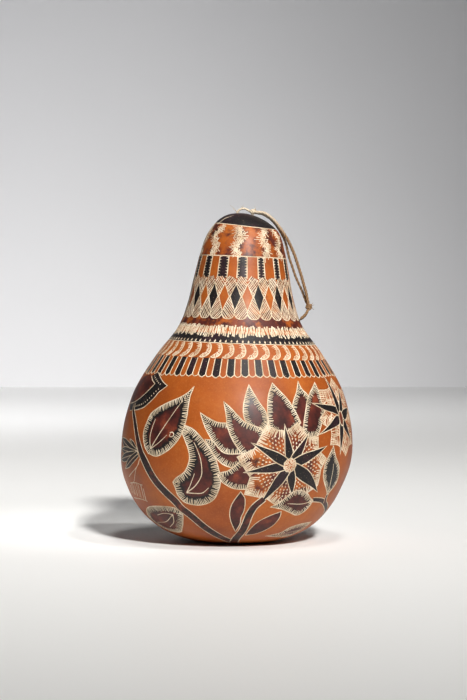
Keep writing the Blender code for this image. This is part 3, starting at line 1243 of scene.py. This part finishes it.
def rind_mesh(carving):
    sheet, triangles, tops = meshed(carving)
    depths = groove_depths(carving, sheet, triangles, tops)
    kinds, stains, chars = corner_values(carving, sheet, triangles, tops)
    into = seam_closed(sheet, triangles)
    fans, centres = pole_fans(sheet, triangles, into)
    for right, left in enumerate(into):
        depths[left] = max(depths[left], depths[right])
    normals = rind_normals(sheet)
    points = rind_points(sheet) - normals * depths[:, None] / 1000
    seat_centre = np.array([[0.0, 0.0, points[[f[0] for f in fans[:4]], 2].mean()]])
    crown = rind_points(np.array([[a, RISE_END] for a in np.linspace(0, 2 * math.pi, 12, endpoint=False)]))
    crown_centre = crown.mean(axis=0, keepdims=True) + np.array([[0, 0, 0.00004]])
    points = np.vstack([points, seat_centre, crown_centre])
    normals = np.vstack([normals, [[0, 0, -1]], [[0.18, 0, 0.98]]])
    all_triangles = np.vstack([into[triangles], np.array(fans)])
    whole = (
        (all_triangles[:, 0] != all_triangles[:, 1])
        & (all_triangles[:, 1] != all_triangles[:, 2])
        & (all_triangles[:, 0] != all_triangles[:, 2])
    )
    fan_count = len(fans)
    top_fan = np.array([BURNT if f[2] == len(sheet) + 1 else RIND for f in fans])
    kinds = np.concatenate([kinds, top_fan])[whole]
    stains = np.concatenate([stains, np.zeros(fan_count)])[whole]
    chars = np.vstack([chars, np.zeros((fan_count, 3))])[whole]
    flat = np.vstack([sheet, centres])
    raw = np.vstack([triangles, np.array(fans)])[whole]
    all_triangles = all_triangles[whole]
    mesh = bpy.data.meshes.new("carved_rind")
    used, compact = np.unique(all_triangles, return_inverse=True)
    compact = compact.reshape(-1, 3)
    mesh.from_pydata(points[used].tolist(), [], compact.tolist())
    mesh.polygons.foreach_set("material_index", kinds.astype(np.int32))
    mesh.polygons.foreach_set("use_smooth", np.ones(len(compact), bool))
    for name, values in (("stain", np.repeat(stains, 3)), ("char", chars.reshape(-1))):
        mesh.attributes.new(name, "FLOAT", "CORNER").data.foreach_set("value", values.astype(np.float32))
    corner_normals = normals[raw.reshape(-1)]
    corners = points[all_triangles]
    face_normals = np.cross(corners[:, 1] - corners[:, 0], corners[:, 2] - corners[:, 0])
    face_normals /= np.maximum(np.linalg.norm(face_normals, axis=1), 1e-15)[:, None]
    in_groove = np.repeat(kinds == CUT, 3)
    corner_normals = np.where(in_groove[:, None], np.repeat(face_normals, 3, axis=0), corner_normals)
    add_chart(mesh, flat[raw.reshape(-1)], np.repeat(np.where((kinds == RIND) & (stains > 0.3), 3, kinds), 3))
    mesh.normals_split_custom_set(corner_normals.tolist())
    return mesh


def add_chart(mesh, flat, classes):
    """A UV map with one quarter for each kind of surface, so that colours don't bleed between them."""
    climbs = np.interp(flat[:, 1], SHEET_RISES, SHEET_CLIMBS)
    across = (flat[:, 0] / (2 * math.pi) + 0.5) * 0.48 + 0.01 + 0.5 * (classes % 2)
    up = climbs / CLIMB_END * 0.48 + 0.01 + 0.5 * (classes // 2)
    layer = mesh.uv_layers.new(name="OFBake")
    layer.data.foreach_set("uv", np.column_stack([across, up]).astype(np.float32).reshape(-1))


def rind_look():
    """Varnished rind: orange, mottled, stained red-brown and charred black where the attributes say."""
    n = Nodes("rind")
    broad = n.noise(22.0, 3.0, 0.6)
    middle = n.noise(90.0, 4.0, 0.6)
    fine = n.noise(900.0, 3.0, 0.6)
    orange = n.ramp(broad, (0.36, (0.21, 0.042, 0.005)), (0.50, (0.30, 0.067, 0.007)),
        (0.64, (0.37, 0.100, 0.013)))
    orange = n.mix(n.ramp(middle, (0.45, 0.0), (0.75, 0.55)), orange, (0.19, 0.033, 0.005))
    orange = n.mix(n.ramp(fine, (0.50, 0.0), (0.72, 0.22)), orange, (0.45, 0.18, 0.045))
    red = n.ramp(middle, (0.38, (0.030, 0.007, 0.006)), (0.55, (0.080, 0.015, 0.010)),
        (0.68, (0.17, 0.034, 0.014)))
    stain = n.attribute("stain")
    patchy = n.maths("ADD", stain, n.spread(n.noise(140.0, 4.0, 0.65), -0.9, 0.9))
    soaked = n.maths("MULTIPLY", n.ramp(patchy, (0.35, 0.0), (0.65, 1.0)),
        n.ramp(stain, (0.0, 0.0), (0.06, 1.0)))
    soaked = n.maths("MAXIMUM", soaked, n.ramp(stain, (0.80, 0.0), (0.95, 1.0)))
    colour = n.mix(soaked, orange, red)
    char = n.maths("ADD", n.attribute("char"), n.spread(n.noise(260.0, 4.0, 0.7), -0.55, 0.55))
    charred = n.maths("MULTIPLY", n.ramp(char, (0.40, 0.0), (0.70, 1.0)),
        n.ramp(n.attribute("char"), (0.0, 0.0), (0.1, 1.0)))
    colour = n.mix(charred, colour, (0.009, 0.007, 0.007))
    roughness = n.maths("ADD", n.spread(middle, 0.52, 0.66), n.spread(fine, -0.06, 0.06))
    bump = n.bump(fine, 0.10, 0.0003)
    bump = n.bump(middle, 0.12, 0.0012, bump)
    return n.finish(colour, roughness, bump, Specular_IOR_Level=0.22, Coat_Weight=0.18, Coat_Roughness=0.34)


def burnt_look():
    """Rind burnt black under varnish, purplish or brownish in patches, with a fine crackle."""
    n = Nodes("burnt_rind")
    broad = n.noise(60.0, 3.0, 0.6)
    middle = n.noise(420.0, 4.0, 0.65)
    colour = n.ramp(broad, (0.38, (0.022, 0.010, 0.013)), (0.50, (0.011, 0.008, 0.009)),
        (0.62, (0.010, 0.009, 0.009)))
    colour = n.mix(n.ramp(middle, (0.55, 0.0), (0.75, 0.5)), colour, (0.034, 0.025, 0.022))
    speck = n.ramp(n.noise(1300.0, 2.0, 0.5), (0.66, 0.0), (0.72, 0.75))
    colour = n.mix(speck, colour, (0.22, 0.16, 0.11))
    roughness = n.spread(middle, 0.40, 0.62)
    return n.finish(colour, roughness, n.bump(middle, 0.35, 0.0003), Specular_IOR_Level=0.14,
        Coat_Weight=0.20, Coat_Roughness=0.34)


def engraved_look():
    """The pale flesh that the graver lays bare: dull, fibrous and a little dirty."""
    n = Nodes("engraved_flesh")
    middle = n.noise(160.0, 4.0, 0.6)
    fine = n.noise(1500.0, 3.0, 0.6)
    colour = n.ramp(middle, (0.34, (0.40, 0.30, 0.19)), (0.50, (0.56, 0.455, 0.32)),
        (0.64, (0.66, 0.56, 0.42)))
    colour = n.mix(n.ramp(fine, (0.50, 0.0), (0.75, 0.5)), colour, (0.32, 0.18, 0.09))
    return n.finish(colour, n.spread(fine, 0.62, 0.80), n.bump(fine, 0.3, 0.0002))


def add_gourd():
    carving = Carving()
    carve_bands(carving)
    carve_body(carving)
    mesh = rind_mesh(carving)
    gourd = new_object("carved_gourd", mesh, [rind_look(), burnt_look(), engraved_look()])
    finished(gourd, "rind", "gourd")


# ---------------------------------------------------------------- body motifs
# The places were read off the photograph by hand, and a scratch script converted them to (angle, climb).
# Most points are its output, rounded to about the nearest half. The rest were moved or added one by one.
# The bands' climbs and tilts above started the same way.

def motif(carving, outline, kind=RIND, stain=1.0, char=(1.1, 0.05, 7.5), reach=3.3, pitch=1.2, line=0.65,
        veins=()):
    """A leaf or petal: a fill, strokes that stand inwards on its edge, its engraved edge and its veins."""
    if signed_area(outline) < 0:
        outline = outline[::-1]
    carving.fill(outline, kind, stain, char)
    if reach:
        fringe(carving, outline, reach, pitch, closed=True)
    carving.groove(outline, line, closed=True)
    for vein in veins:
        widths = np.linspace(0.7, 0.35, len(vein))
        carving.groove(vein, widths)


def ribbon(line, widths):
    """The outline of a band of the given widths in mm along a sheet line."""
    widths = np.interp(np.linspace(0, 1, len(line)), np.linspace(0, 1, len(widths)), widths)
    ways = np.gradient(line, axis=0)
    ways /= np.maximum(np.linalg.norm(ways, axis=1), 1e-12)[:, None]
    side = np.column_stack([-ways[:, 1], ways[:, 0]]) * (0.5 * widths / mm_per_unit(line[:, 1]))[:, None]
    return line + side, line - side


def stem(carving, line, widths):
    """A burnt stem with an engraved line on each side."""
    left, right = ribbon(line, widths)
    carving.fill(np.vstack([left, right[::-1]]), RIND, 1.0, (0.62, 0.55, 2.0))
    carving.groove(left, 0.6)
    carving.groove(right, 0.6)


def lens(centre, tip, width, fullest=0.36, bend=0.0):
    """The outline of a slender petal from a flower's centre to its tip. width and bend are in mm."""
    centre, tip = to_sheet([centre, tip])
    way = tip - centre
    side = np.array([-way[1], way[0]]) / np.linalg.norm(way) / mm_per_unit(centre[1])
    shares = np.linspace(0, 1, 9)
    halves = 0.5 * width * np.where(
        shares < fullest,
        0.68 + 0.32 * np.sin(0.5 * np.pi * shares / fullest),
        (1 - ((shares - fullest) / (1 - fullest)).clip(0, 1) ** 1.15),
    )
    curl = bend * np.sin(np.pi * shares)
    middle = centre + way * shares[:, None] + side * curl[:, None]
    left = middle + side * halves[:, None]
    right = middle - side * halves[:, None]
    return np.vstack([right, left[::-1][1:]])


def carve_spray(carving, turn):
    """One side's flowers and leaves, turned round the gourd by an angle."""

    def at(*places):
        return [(angle + turn, climb) for angle, climb in places]

    def line(*places, per_span=5):
        return curve(at(*places), per_span)

    def shape(*sides, per_span=5):
        """A closed outline with a corner where each side meets the next."""
        return joined(*[line(*side, per_span=per_span) for side in sides])

    carve_left_edge(carving, line, shape, at)
    carve_left_leaves(carving, line, shape)
    carve_back_petals(carving, shape)
    carve_side_flower(carving, shape, at)
    carve_main_flower(carving, line, at)
    carve_right_leaves(carving, line, shape)


def carve_left_edge(carving, line, shape, at):
    """The dotted black band, the fan flower and the hatched scrap at the left edge."""
    petal = shape(
        ((-66, 166), (-59, 162), (-54.5, 159.5)),
        ((-54.5, 159.5), (-57, 156.5), (-60, 152.5), (-65, 148.5), (-72, 145.5), (-80, 144.5)),
        ((-80, 144.5), (-84, 155), (-76, 163), (-66, 166)),
    )
    carving.fill(petal, RIND, 0.85, (0.35, 0.1, 6.0))
    outer = line((-57, 168), (-52.5, 164.5), (-47.5, 161), (-43, 158.5))
    low = line((-43, 158.5), (-45.5, 156), (-48, 153.5), (-50, 150), (-54, 145.5), (-58, 142.5),
        (-66, 140.5), (-76, 139.5))
    inner = line(
        (-80, 144), (-72, 145.5), (-65, 148.5), (-60, 152.5), (-56.5, 156.5), (-54.5, 159.5)
    )
    high = line((-54.5, 159.5), (-59, 162), (-63, 165))
    dotted = np.vstack([outer, low[1:], inner, high[1:]])
    carving.fill(dotted, BURNT)
    for edge in (outer, low, inner, high):
        carving.groove(edge, 0.6)
    for beads in (
        line((-60, 165.5), (-53.5, 161.5), (-48.5, 159)),
        line((-48.5, 156.5), (-52, 152.5), (-56, 147.5), (-61, 144.5), (-70, 142.5)),
    ):
        for place, way in walk(beads, 2.1):
            drop(carving, place, (way[1], -way[0]), 1.2, 0.85)
    scrap = shape(((-69, 91.5), (-61, 92.5), (-54.5, 91.5)), ((-54.5, 91.5), (-55, 85.5), (-55.5, 79.5)),
        ((-55.5, 79.5), (-60, 81.5), (-75, 84)), ((-75, 84), (-69, 91.5)))
    hatch(carving, scrap, 75, 2.7, 0.80, 0.6)
    carving.groove(line((-69, 91.5), (-61, 92.5), (-54.5, 91.5)), 0.6)
    carving.groove(line((-55.5, 79.5), (-62, 80.5), (-75, 80)), 0.6)
    base = (-56, 112.5)
    fan = (((-66, 121.5), 5), ((-83, 121), 7), ((-82, 113.5), 5.5), ((-83, 106), 6), ((-72, 101), 6))
    for tip, width in fan:
        petal = lens(*at(base, tip), width, 0.6)
        motif(carving, petal, RIND, 1.0, (0.9, 0.45, 3.0), reach=0, line=0.5, veins=[line(base, tip)])
    carving.groove(line((-54, 109.5), (-57, 103.5), (-68, 96)), 0.6)
    carving.groove(line((-57, 103.5), (-62, 94), (-66, 92)), 0.4)


def carve_left_leaves(carving, line, shape):
    """The long stem on the left with its three leaves."""
    motif(
        carving,
        shape(
            ((-26, 132.5), (-21.5, 130), (-17, 124.5), (-13, 118), (-10, 111.5), (-8, 104), (-7, 98.5),
            (-8, 91), (-10.5, 84.5), (-14.5, 81), (-20, 79.5), (-25.5, 80.5), (-28, 82)),
            ((-28, 82), (-30.5, 86.5), (-31, 91), (-32, 95.5)),
            ((-32, 95.5), (-30, 98.5), (-25.5, 102.5), (-23.5, 107.5), (-23, 113), (-24, 118.5),
            (-26, 124), (-27.5, 128.5), (-26, 132.5)),
        ),
        reach=4.3, char=(1.3, 0.3, 9.0),
        veins=[
            line((-25, 88.5), (-20, 93.5), (-16.5, 101), (-17, 109.5), (-19, 117), (-21, 122)),
            line((-25, 88.5), (-22.5, 94), (-20, 102)),
            line((-25, 88.5), (-17, 88.5), (-13, 92.5)),
        ],
    )
    motif(
        carving,
        shape(
            ((-25, 158.5), (-28, 154), (-32.5, 150.5), (-39, 147), (-44.5, 143.5), (-49, 139.5),
            (-51, 134), (-52.5, 128), (-52, 122.5), (-50, 117), (-47.5, 113.5)),
            ((-47.5, 113.5), (-42, 112), (-37, 114.5), (-32.5, 118.5), (-29, 124), (-27, 130),
            (-26, 137.5), (-26, 145), (-26, 152), (-25, 158.5)),
        ),
        reach=3.7, char=(1.3, 0.35, 8.0),
        veins=[
            line((-46, 116.5), (-38, 132), (-30, 148.5)),
            line((-46, 116.5), (-47, 125), (-45, 136)),
            line((-46, 116.5), (-41, 120.5), (-36, 126)),
            line((-34.5, 127.5), (-33, 128), (-32, 126.5), (-33, 125), (-34.5, 125.5), (-34, 127)),
        ],
    )
    motif(
        carving,
        shape(
            ((-35, 76.5), (-41.5, 77), (-55, 75.5), (-64, 71.5), (-70, 65), (-70, 60), (-65, 55.5),
            (-59, 51)),
            ((-59, 51), (-50, 50.5), (-43, 52.5)),
            ((-43, 52.5), (-38, 58), (-34.5, 63), (-31, 72), (-35, 76.5)),
        ),
        reach=4.2, pitch=1.1,
        veins=[
            line((-38.5, 70.5), (-45, 71), (-53.5, 68.5)),
            line((-38.5, 70.5), (-49, 63), (-63, 60.5)),
            line((-38.5, 70.5), (-42, 63), (-51, 57)),
        ],
    )
    stem(
        carving,
        line((-70, 145), (-69, 140.5), (-63, 133), (-57, 121.5), (-53, 113), (-49, 106.5), (-43, 95.5),
        (-37.5, 87.5), (-33, 81.5), (-30.5, 76.5), (-25.5, 70), (-19, 58.5), (-9.5, 44.5), (0, 34)),
        (2.6, 4.4, 6.0, 6.2, 6.0, 6.4),
    )


def carve_back_petals(carving, shape):
    """The layered red petals that spread behind the main flower."""
    reach = dict(reach=3.3, char=(0.95, 0.06, 7.0))
    tips = (
        (((-15.5, 124), (-12, 116), (-9, 111), (-6, 108), (-2, 106)),
        ((-2, 106), (8, 112), (2, 120), (-8, 123), (-15.5, 124))),
        (((-8.5, 101), (-7, 103), (-4, 104), (-1, 107), (2, 111)), ((2, 111), (14, 104), (7, 91.5)),
        ((7, 91.5), (0, 92), (-4, 94.5), (-6.5, 97), (-8.5, 101))),
        (((-19, 141), (-15, 138), (-10, 135), (-5, 134.5)), ((-5, 134.5), (6, 128), (2, 115)),
        ((2, 115), (-6, 115.5), (-11, 122), (-13, 125.5), (-16, 132), (-19, 141))),
        (((5.5, 160), (3.5, 152), (2.5, 144.5), (3, 138), (5, 133)), ((5, 133), (10, 128), (15, 134)),
        ((15, 134), (14, 141.5), (11, 147.5), (8, 154), (5.5, 160))),
        (((36, 162), (33, 154.5), (29.5, 147), (28, 138), (30, 130)), ((30, 130), (34, 128), (38, 132)),
        ((38, 132), (40, 140), (41, 147), (40, 152.5), (37, 156.5), (36, 162))),
        (((19, 161), (16, 153), (15, 145), (15, 138.5), (15.5, 131)), ((15.5, 131), (24, 126), (33, 134)),
        ((33, 134), (30.5, 141), (27, 149), (23, 155), (19, 161))),
        (((49, 160.5), (40.5, 151), (37, 142), (34.5, 132.5), (34, 128.5)),
        ((34, 128.5), (37, 124.5), (43.5, 125)), ((43.5, 125), (47, 132.5), (51, 141.5), (50.5, 146.5),
        (50, 153.5), (49, 160.5))),
        (((-7.5, 148.5), (-6, 140.5), (-5, 132.5), (-3, 125.5), (0, 119), (3.5, 113.5)),
        ((3.5, 113.5), (14, 118), (11.5, 131)), ((11.5, 131), (5.5, 134), (2.5, 136), (-3.5, 144),
        (-7.5, 148.5))),
    )
    for sides in tips:
        motif(carving, shape(*sides, per_span=4), **reach)


def carve_side_flower(carving, shape, at):
    """The flower at the right edge, on a ground of pale strokes."""
    centre = (66.5, 135)
    ground = shape(
        ((71, 163), (60, 155.5), (50, 155)),
        ((50, 155), (50, 146.5), (51.5, 141), (46.5, 136.5)),
        ((46.5, 136.5), (48, 132.5), (54, 128), (52.5, 118.5)),
        ((52.5, 118.5), (60, 117.5), (68.5, 110)),
        ((68.5, 110), (74, 116), (82, 117)),
        ((82, 117), (82, 127), (90, 134)),
        ((90, 134), (83, 143), (85, 154)),
        ((85, 154), (77, 154), (71, 163)),
        per_span=4,
    )
    if signed_area(ground) < 0:
        ground = ground[::-1]
    carving.fill(ground, RIND, 0.15)
    middle = to_sheet(at(centre))[0]
    for share, reach, pitch in ((0.98, 7.0, 1.3), (0.68, 6.0, 1.3), (0.42, 4.5, 1.3)):
        fringe(carving, middle + (ground - middle) * share, reach, pitch, closed=True, width=0.72, tip=0.35)
    carving.groove(ground, 0.6, closed=True)
    petals = (
        shape(((66.5, 136), (60, 138.5), (51, 141.5), (42, 146.5)),
        ((42, 146.5), (53, 145), (64, 142.5), (66.5, 136))),
        shape(((66.5, 135), (61, 137), (53, 131.5), (44, 125.5)),
        ((44, 125.5), (54, 128.5), (62.5, 131), (66.5, 135))),
        *(
            lens(*at(centre, tip), width, fullest)
            for tip, width, fullest in (
                ((61.5, 165), 6.0, 0.35), ((76, 157), 6.0, 0.35), ((84, 141), 7.0, 0.4),
                ((79, 118), 6.4, 0.35), ((61.5, 111.5), 6.2, 0.35),
            )
        ),
    )
    for petal in petals:
        motif(carving, petal, BURNT, 0.0, None, reach=0, line=0.55)
    heart = ring_shape(at(centre)[0], 3.2, 5.0)
    motif(carving, heart, RIND, 0.75, None, reach=0, line=0.8)


def ring_shape(centre, half_width, half_height, count=14, wobble=0.0):
    """A closed oval round a place, its half sizes in mm."""
    middle = to_sheet([centre])[0]
    unit = 1 / mm_per_unit(middle[1])
    angles = np.linspace(0, 2 * math.pi, count, endpoint=False)
    reach = 1 + wobble * np.cos(angles * count / 2)
    oval = np.column_stack([half_width * np.cos(angles) * reach, half_height * np.sin(angles) * reach])
    return middle + oval * unit


def carve_main_flower(carving, line, at):
    """The eight-petalled flower, on a dotted web with a pale hatched rim."""
    centre = (26.5, 107)
    corners = (
        (0, 113), (8, 118), (14, 133), (20, 129.5), (25, 129), (31, 134), (37, 124), (43.5, 124), (43, 116),
        (49, 110), (46, 103), (47, 92), (38, 85), (25, 77.5), (17, 84.5), (5, 88), (7, 100),
    )
    web = joined(*[line(a, b, per_span=4) for a, b in zip(corners, corners[1:] + corners[:1])])
    if signed_area(web) < 0:
        web = web[::-1]
    carving.fill(web, RIND, 0.50)
    middle = to_sheet(at(centre))[0]
    for ring in range(7):
        reach = 7.5 + 2.35 * ring
        count = round(2 * math.pi * reach / 2.5)
        for k in range(count):
            angle = 2 * math.pi * (k + 0.5 * (ring % 2)) / count
            way = np.array([math.cos(angle), math.sin(angle)])
            place = middle + way * reach / mm_per_unit(middle[1])
            near = rim_distance(place[None, :], web)[0]
            if inside(tuple(place), [tuple(p) for p in web]) and near > 4.3:
                drop(carving, place, way, 1.5, 1.1)
    fringe(carving, web, 5.0, 1.05, closed=True, width=0.85, tip=0.5, wild=0.3)
    carving.groove(web, 0.65, closed=True)
    petals = (
        ((23.5, 133.5), 6.2, 0.30, 0.0), ((37.5, 127), 6.4, 0.30, 0.0), ((49.5, 118), 6.8, 0.34, 0.0),
        ((49, 87), 8.4, 0.42, 1.2), ((31.5, 85.5), 6.2, 0.45, 0.0), ((13.5, 80), 7.4, 0.36, 0.0),
        ((3.5, 103), 6.2, 0.36, 0.0), ((6.5, 122), 6.4, 0.34, 0.0),
    )
    for tip, width, fullest, bend in petals:
        motif(carving, lens(*at(centre, tip), width, fullest, bend), BURNT, 0.0, None, reach=0, line=0.6)
    heart = ring_shape(at(centre)[0], 4.4, 4.4, 18, 0.04)
    carving.fill(heart, RIND, 0.3)
    fringe(carving, heart, 3.0, 1.0, closed=True, width=0.75, tip=0.3)
    carving.groove(heart, 0.6, closed=True)
    for k in range(6):
        way = np.array([math.cos(1.05 * k), math.sin(1.05 * k)])
        carving.stroke(middle + way * 0.002, middle + way * 0.022, 0.5, 0.4)


def carve_right_leaves(carving, line, shape):
    """The leaves and stems below and beside the main flower."""
    stem(carving, line((90, 50), (80, 61), (75.5, 68.5), (67, 74.5), (58, 79.5), (52, 81), (47.5, 81.5)),
        (3.4, 3.6, 3.2))
    stem(carving, line((62, 78), (60.5, 81), (60, 85.5)), (3.0, 2.2))
    motif(
        carving,
        shape(
            ((55, 117.5), (51, 111.5), (48.5, 106), (49, 99), (52, 93.5), (60, 84)),
            ((60, 84), (65, 91), (64.5, 98), (62, 104), (57, 111), (55, 117.5)),
        ),
        BURNT, 0.0, None, reach=3.0, veins=[line((60, 86), (57.5, 95), (56, 106))],
    )
    motif(
        carving,
        shape(
            ((20, 78), (24, 80.5), (29, 86), (32, 89), (36, 89.5), (41, 87), (45, 83), (48, 81)),
            ((48, 81), (47, 76), (43.5, 71), (39, 70), (33, 73), (27, 76), (20, 78)),
        ),
        RIND, 1.0, (0.9, 0.25, 6.0), reach=3.4, veins=[line((47, 80.5), (40, 79), (30, 80))],
    )
    stem(carving, line((-2, 34), (0, 42), (1.5, 47), (5, 55.5), (7, 63.5), (8.5, 71.5), (11, 78.5),
        (15.5, 84.5)), (5.5, 5.5, 5.2, 5.0, 4.4))
    left_leaf = shape(
        ((3, 90), (-1, 81.5), (-2.5, 74), (-2, 66), (0.5, 55.5)),
        ((0.5, 55.5), (3.5, 64), (4, 70), (5.5, 76), (5.5, 84.5), (3, 90)),
    )
    motif(carving, left_leaf, RIND, 1.0, (0.45, 0.30, 3.0), reach=0, line=0.55)
    right_leaf = shape(
        ((27.5, 74), (21.5, 71), (16, 67), (12.5, 62.5), (9.5, 56), (8, 50.5)),
        ((8, 50.5), (15, 52), (21, 56), (26, 62), (28, 69), (27.5, 74)),
    )
    motif(carving, right_leaf, RIND, 1.0, (0.45, 0.30, 3.0), reach=0, line=0.55)
    motif(
        carving,
        shape(
            ((25, 48), (36, 52), (40.5, 57.5), (49.5, 60.5), (63, 61)),
            ((63, 61), (61, 52), (56, 43)),
            ((56, 43), (46, 43.5), (38.5, 45), (25, 48)),
        ),
        RIND, 0.8, (0.5, 0.3, 4.0), reach=4.6, pitch=0.95, veins=[line((56, 52), (46, 51), (38, 49))],
    )


def carve_body(carving):
    carve_spray(carving, 0)
    carve_spray(carving, 180)


add_camera()
add_twine()
add_room()
add_lights()
add_gourd()
